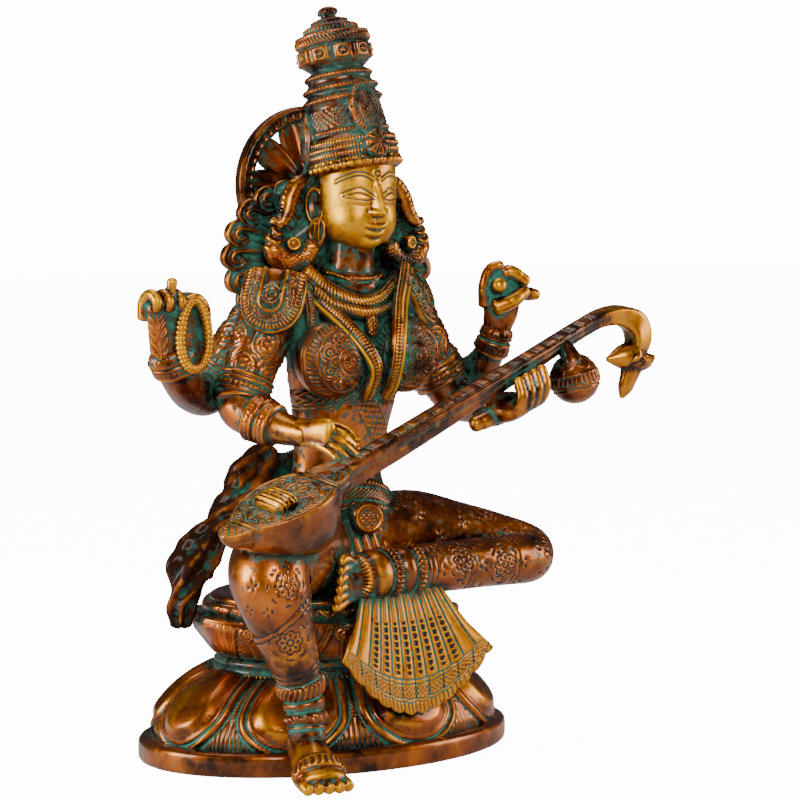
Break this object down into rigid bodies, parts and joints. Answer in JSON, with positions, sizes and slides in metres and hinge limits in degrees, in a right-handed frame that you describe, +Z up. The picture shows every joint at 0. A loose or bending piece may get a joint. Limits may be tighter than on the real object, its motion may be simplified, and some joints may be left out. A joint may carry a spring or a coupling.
{
  "type": "seated deity statue",
  "caption": "Cast-brass seated goddess with four arms playing a veena, one leg hanging, on an oval lotus pedestal, with a pierced halo wheel behind the head.",
  "frame": {"origin": "centre of the pedestal's flat underside", "axes": "+Z up; she faces -Y; +X is her left"},
  "size_m": [0.2326, 0.1429, 0.3012],
  "materials": {
    "pedestal": "orange-brown lacquered brass, green in the hollows",
    "figure": "orange-brown lacquered brass, gilt face and hands, green in the hollows",
    "veena": "orange-brown lacquered brass, polished along its neck",
    "halo": "orange-brown lacquered brass, darkened"
  },
  "bodies": {
    "root": {"pedestal": "pedestal", "figure": "figure", "veena": "veena", "halo": "halo"}
  },
  "joints": []
}
